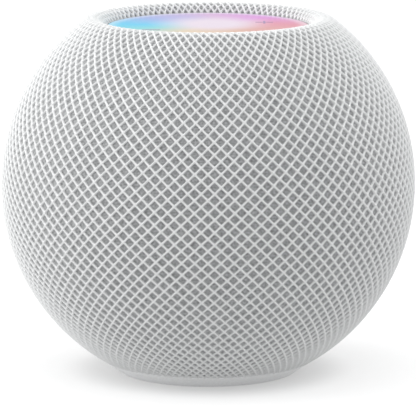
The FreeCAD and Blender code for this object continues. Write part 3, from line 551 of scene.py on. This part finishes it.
# The strand's half round section, as rings from its middle to the opening: how far out the ring is, and how
# deep, as shares of the strand's half width and of the cover's thickness. The last ring closes the underside.
SECTION = [(0.0, 0.0), (0.55, 0.13), (0.92, 0.40), (1.0, 0.62), (0.9, 0.86), (0.0, 0.86)]


def cell_rings(across, tall):
    """One cell's rings, as (x, y) steps from its centre: along the strands, then into the opening.

    Strands that fall to the right lie over the ones that rise to the right, which dip between crossings.
    """
    half = np.array([across / 2, tall / 2])
    corners = np.array([(1, 0), (0, 1), (-1, 0), (0, -1)], dtype=float)
    border = np.array([here + (there - here) * step / SIDE_STEPS
                       for here, there in zip(corners, np.roll(corners, -1, axis=0))
                       for step in range(SIDE_STEPS)])
    reach = half[0] * half[1] / np.hypot(*half)
    opening = max(LEAST_OPENING, 1 - STRAND_HALF / reach)
    shrink = np.sum(np.abs(border)**CORNER_POWER, axis=1)**(-1 / CORNER_POWER)
    shrink = shrink / 2**((CORNER_POWER - 1) / CORNER_POWER)
    rings = [border * (1 - out * (1 - opening * shrink))[:, None] * half for out, _ in SECTION]
    side, step = np.divmod(np.arange(len(border)), SIDE_STEPS)
    under = side % 2
    dip = np.array(STRAND_DIPS)[under] * np.sin(np.pi * step / SIDE_STEPS)
    return rings, dip, np.sign(border[:, 1]), np.where(step, under, 0.5)


def lattice(name, first, count):
    """A gore of the knitted cover: every cell is a diamond opening between rounded strands."""
    points, faces = [], []
    marks = {"along": [], "across": [], "under": []}
    ring_size = 4 * SIDE_STEPS
    row_first = math.floor((ARC_LOW - CELL_PHASE) / (CELL_TALL / 2))
    row_last = math.ceil((ARC_END - CELL_PHASE) / (CELL_TALL / 2))
    for row in range(row_first, row_last + 1):
        middle = CELL_PHASE + row * CELL_TALL / 2
        row_r = float(skin_point(min(max(middle, ARC_LOW), ARC_END), 0)[0])
        rings, dip, side, under = cell_rings(2 * math.pi * row_r / CELLS_ROUND, CELL_TALL)
        for column in range(first, first + count):
            turn = (column + (row % 2) / 2) * 2 * math.pi / CELLS_ROUND
            for number, (ring, (out, depth)) in enumerate(zip(rings, SECTION)):
                if number:
                    faces.extend(band(len(points) - ring_size, len(points), ring_size))
                arc = np.clip(middle + ring[:, 1], ARC_LOW, ARC_END)
                radius, height = skin_point(arc, (depth + dip * (1 - depth)) * MESH_T)
                points.extend(round_axis(radius, turn + ring[:, 0] / row_r, height))
                marks["along"].extend(arc)
                marks["across"].extend(out * side)
                marks["under"].extend(under)
    return cut_and_join(name, np.array(points), np.array(faces), marks)


def outlet_gap(points):
    """How far each point is from the cable outlet's axis; points on the front are far from it."""
    gap = np.hypot(points[:, 0], points[:, 2] - OUTLET_Z)
    return np.where(points[:, 1] > 0, gap, BALL_R)


JOIN_WITHIN = 0.002 * MM          # points this near are one
LEAST_GAP = 0.05 * MM             # keeps a point on the outlet's axis from a division by nothing


def cut_and_join(name, points, faces, marks):
    """Open the lattice round the cable outlet, fuse its cells and drop what has no area."""
    gap = outlet_gap(points)
    inside = gap < OUTLET_R
    faces = faces[~inside[faces].all(axis=1)]
    push = OUTLET_R / np.maximum(gap[inside], LEAST_GAP)
    points[inside, 0] *= push
    points[inside, 2] = OUTLET_Z + (points[inside, 2] - OUTLET_Z) * push
    keys = np.round(points / JOIN_WITHIN).astype(np.int64)
    _, keep, place = np.unique(keys, axis=0, return_index=True, return_inverse=True)
    faces = place.reshape(-1)[faces]
    whole = [len(set(face)) == 4 for face in faces.tolist()]
    piece = mesh_object(name, points[keep], faces[whole])
    for label, values in marks.items():
        attribute = piece.data.attributes.new(label, "FLOAT", "POINT")
        attribute.data.foreach_set("value", np.array(values, dtype=np.float32)[keep])
    return piece


def knitted_cover():
    """The lattice in equal gores, which together stand for the CAD's plain shell."""
    columns = CELLS_ROUND // GORES
    gores = []
    for gore in range(GORES):
        piece = lattice(f"mesh_gore_{gore + 1}", gore * columns - columns // 2, columns)
        dress(piece, "mesh_fabric", FINISHES["mesh_fabric"], "mesh_cover")
        gores.append(piece)
    return gores


HEM_R = 0.38 * MM                 # radius of the bound edges
HEM_DROP = 0.10 * MM              # how far the lower one hangs below the cover's edge, onto the foot
LOWER_HEM_STEPS, OUTLET_HEM_STEPS = 240, 60


def hems():
    """The cover's two bound edges: one over the foot and one round the cable outlet."""
    material = grained("hem_binding", (0.66, 0.665, 0.67), 0.7, 2600, 0.03 * MM, Sheen_Weight=0.1)
    radius, height = skin_point(ARC_LOW, MESH_T / 2)
    low = round_axis(radius, even_turns(LOWER_HEM_STEPS), height - HEM_DROP)
    turns = even_turns(OUTLET_HEM_STEPS)
    across, up = OUTLET_R * np.cos(turns), OUTLET_Z + OUTLET_R * np.sin(turns)
    back = np.sqrt((BALL_R - MESH_T / 2)**2 - (up - BALL_Z)**2 - across**2)
    outlet = np.stack([across, back, up], axis=1)
    pieces = [tube("lower_hem", low, HEM_R), tube("outlet_hem", outlet, HEM_R)]
    for piece in pieces:
        dress(piece, "mesh_fabric", material)
    return pieces


SCRIM_ROWS, SCRIM_COLUMNS = 170, 240


def scrim(with_pieces):
    """The fine knit behind the lattice, one stretched sleeve with an opening for the cable."""
    radius, height = skin_point(np.linspace(ARC_LOW, ARC_END, SCRIM_ROWS), SCRIM_DEPTH)
    grid = round_axis(radius[:, None], even_turns(SCRIM_COLUMNS), height[:, None])
    points = grid.reshape(-1, 3)
    faces = []
    for row in range(SCRIM_ROWS - 1):
        faces.extend(band(row * SCRIM_COLUMNS, (row + 1) * SCRIM_COLUMNS, SCRIM_COLUMNS))
    faces = np.array(faces)
    inside = outlet_gap(points) < OUTLET_R
    piece = mesh_object("knit_scrim", points, faces[~inside[faces].any(axis=1)])
    dress(piece, "scrim_fabric", FINISHES["scrim_fabric"], "mesh_scrim")


# ---- flexing parts -------------------------------------------------------------------------------

WEDGES = 20                       # pieces in a flexing ring
WEDGE_STEPS = 4
WEDGE_COS = math.cos(math.pi / WEDGES)
ROLL_STEPS = 12                   # steps over a surround's half roll

SURROUND_T = 0.3 * MM             # the room that the CAD gives a surround's rubber
DRIVER_ROLL_R = 1.6 * MM
DRIVER_RUBBER, RADIATOR_RUBBER = 0.6 * SURROUND_T, 0.8 * SURROUND_T
DRIVER_LAND, RADIATOR_LAND = 1.0 * MM, 1.4 * MM     # flat rims that are glued down
CONE_GLUE = 0.1 * MM              # between the cone's edge and the rubber below it

SPIDER_T = 0.12 * MM
PLEAT_WIDE, PLEAT_TALL = 1.1 * MM, 0.17 * MM
PLEAT_POINTS = 73
SPIDER_LAND, SPIDER_RIM = 0.8 * MM, 0.6 * MM        # plain edges at the former and at the basket


def thicken(path, thick):
    """A closed outline of even thickness about an open path of (radius, level) points."""
    ahead = np.gradient(path, axis=0)
    ahead /= np.linalg.norm(ahead, axis=1)[:, None]
    side = np.stack([-ahead[:, 1], ahead[:, 0]], axis=1) * thick / 2
    return np.concatenate([path + side, (path - side)[::-1]])


def roll_path(land, reach, level, bulge):
    """A half roll between two flat lands, from radius land[0] to land[1]; bulge is +1 or -1."""
    middle, half = (reach[0] + reach[1]) / 2, (reach[1] - reach[0]) / 2
    turns = np.linspace(math.pi, 0, ROLL_STEPS + 1)
    roll = np.stack([middle + half * np.cos(turns), level + bulge * half * np.sin(turns)], axis=1)
    return np.concatenate([[(land[0], level)], roll, [(land[1], level)]])


def pleated_path(inner, outer, level):
    """A flat annulus with round pleats between its two plain edges."""
    radii = np.linspace(inner, outer, PLEAT_POINTS)
    fade = np.clip(np.minimum(radii - inner, outer - radii) / SPIDER_LAND - 0.5, 0, 1)
    pleats = np.sin(2 * math.pi * (radii - inner) / PLEAT_WIDE)
    return np.stack([radii, level + PLEAT_TALL * fade * pleats], axis=1)


def about_up(radius, turn, level):
    """A point at a radius, turn and level about the ball's own axis."""
    return radius * math.cos(turn), radius * math.sin(turn), level


def about_side(radius, turn, level):
    """A point at a radius, turn and level about the line through the two passive radiators."""
    return level, radius * math.cos(turn), BALL_Z + radius * math.sin(turn)


def flexing(name, node, outline, place, reach, slot, material):
    """A ring of wedges between a moving part inside their reach and the housing outside it."""
    level = float(np.mean(outline[:, 1]))
    size = len(outline)
    for wedge in range(WEDGES):
        turns = np.linspace(wedge, wedge + 1, WEDGE_STEPS + 1) * 2 * math.pi / WEDGES
        points = [place(radius, turn, height) for turn in turns for radius, height in outline]
        faces = []
        for step in range(WEDGE_STEPS):
            faces.extend(band(step * size, (step + 1) * size, size))
        piece = mesh_object(f"{name}_{wedge + 1}", points, faces)
        dress(piece, slot, material, node, body=None)
        middle = float(np.mean(turns))
        start, end = place(reach[1] * WEDGE_COS, middle, level), place(reach[0], middle, level)
        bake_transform(piece)


def driver_surround():
    """The roll of rubber that bulges down between the cone's edge and the basket."""
    cone_low, cone_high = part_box("driver_cone")
    cone_r = cone_high[0]
    reach = (cone_r + SURROUND_T / 2, cone_r + 2 * DRIVER_ROLL_R - SURROUND_T / 2)
    land = (cone_r - DRIVER_LAND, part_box("driver_surround")[1][0])
    path = roll_path(land, reach, cone_low[2] - SURROUND_T / 2 - CONE_GLUE, -1)
    flexing("driver_roll", "driver_surround", thicken(path, DRIVER_RUBBER), about_up,
            reach, "surround_rubber", FINISHES["surround_rubber"])


def spider():
    """The pleated cloth that centres the voice coil's former."""
    low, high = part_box("spider")
    former_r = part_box("coil_former")[1][0]
    reach = (former_r + SPIDER_LAND, high[0] - SPIDER_RIM)
    path = pleated_path(former_r, high[0], (low[2] + high[2]) / 2)
    flexing("spider_pleats", "spider", thicken(path, SPIDER_T), about_up,
            reach, "scrim_fabric", woven_cloth("spider_cloth", (0.55, 0.42, 0.22)))


def radiator_surround(side, sign):
    """The roll of rubber that bulges out round a passive radiator's plate."""
    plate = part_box(f"radiator_plate_{side}")
    plate_r = plate[1][1]
    face = max(abs(corner[0]) for corner in plate)
    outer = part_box(f"radiator_surround_{side}")[1][1]
    reach = (plate_r + SURROUND_T / 2, outer - RADIATOR_LAND - SURROUND_T / 2)
    path = roll_path((plate_r - RADIATOR_LAND, outer), reach, face + SURROUND_T / 2, 1)
    outline = thicken(path, RADIATOR_RUBBER) * (1, sign)
    flexing(f"radiator_roll_{side}", f"radiator_surround_{side}", outline, about_side,
            reach, "surround_rubber", FINISHES["surround_rubber"])


# ---- stage ---------------------------------------------------------------------------------------

SKY_COLOR, SKY = (0.985, 0.995, 1, 1), 0.80
LIGHTS = {
    # name: where it stands, its side in metres and its power in watts
    "left_light": ((-1.45, 0.12, 0.55), 1.3, 20),
    "top_light": ((-0.10, -0.25, 1.75), 2.4, 32),
    "right_light": ((1.35, 0.75, 0.60), 1.2, 11),
}


def face_to(thing, target):
    """Turn a light or the camera to look at a point."""
    thing.rotation_euler = (target - thing.location).to_track_quat("-Z", "Y").to_euler()


def studio():
    """A bright even room and three soft boxes: the strongest above, and a weaker one on each side."""
    scene = bpy.context.scene
    scene.world = scene.world or bpy.data.worlds.new("studio")
    scene.world.use_nodes = True
    sky = scene.world.node_tree.nodes["Background"]
    sky.inputs["Color"].default_value = SKY_COLOR
    sky.inputs["Strength"].default_value = SKY
    for name, (place, size, power) in LIGHTS.items():
        data = bpy.data.lights.new(name, "AREA")
        data.size = size
        data.energy = power
        light = bpy.data.objects.new(name, data)
        light.location = place
        light.visible_camera = False
        face_to(light, Vector((0, 0, BALL_Z)))
        scene.collection.objects.link(light)
    scene.view_settings.view_transform = "Standard"


PAPER_WIDE = 12
PAPER_PAINTED_SHADOW_GLOW = (0.36, 0.25)         # its glow in the painted shadow close to the foot, and how much more it glows further out
PAPER_PAINTED_SHADOW_REACH = (20 * MM, 36 * MM)  # how far from the axis the painted shadow fades out
PAPER_FIBRES = [(0.32, (0.337, 0.337, 0.337)), (0.68, (0.343, 0.343, 0.343))]


def paper_with_painted_shadow():
    """White paper that glows, with a painted shadow: it glows less close to the foot."""
    material, tree, shader = new_material(
        "paper_with_painted_shadow", (0.34, 0.34, 0.34), 0.9, Specular_IOR_Level=0.0, Emission_Color=(1, 1, 1, 1))
    # painted shadow: the paper's glow is dimmed close to the foot
    clear = smooth_step(tree, axis_radius(tree), *PAPER_PAINTED_SHADOW_REACH)
    low, more = PAPER_PAINTED_SHADOW_GLOW
    glow_with_painted_shadow = math_node(tree, "MULTIPLY_ADD", clear, more, low)
    tree.links.new(glow_with_painted_shadow, shader.inputs["Emission Strength"])
    fibres = noise(tree, 300)
    tree.links.new(ramp(tree, fibres, PAPER_FIBRES), shader.inputs["Base Color"])
    bump(tree, shader, fibres, 0.4, 0.01 * MM)
    return material


def stage():
    """A wide sheet of white paper."""
    bpy.ops.mesh.primitive_plane_add(size=PAPER_WIDE)
    floor = bpy.context.object
    floor.name = "floor"
    wear(floor, paper_with_painted_shadow())


CAMERA_FAR = 1.0                  # from the ball's middle
CAMERA_RISE = math.radians(9.8)   # above the horizon
CAMERA_LENS, SENSOR_WIDE = 366, 36               # both in millimetres
CAMERA_SEES = (0.05, 50)          # from how near to how far
AIM_DROP = 5.7 * MM               # how far below the ball's middle it aims


def camera():
    """A long lens a metre away, a little above the ball."""
    data = bpy.data.cameras.new("camera")
    data.sensor_width, data.lens = SENSOR_WIDE, CAMERA_LENS
    data.clip_start, data.clip_end = CAMERA_SEES
    eye = bpy.data.objects.new("camera", data)
    bpy.context.scene.collection.objects.link(eye)
    middle = Vector((0, 0, BALL_Z))
    eye.location = middle + CAMERA_FAR * Vector((0, -math.cos(CAMERA_RISE), math.sin(CAMERA_RISE)))
    face_to(eye, middle - Vector((0, 0, AIM_DROP)))
    bpy.context.scene.camera = eye


camera()
studio()
stage()
dress_nodes()
scrim(with_pieces=knitted_cover() + hems())
driver_surround()
spider()
for side, sign in (("left", -1), ("right", 1)):
    radiator_surround(side, sign)
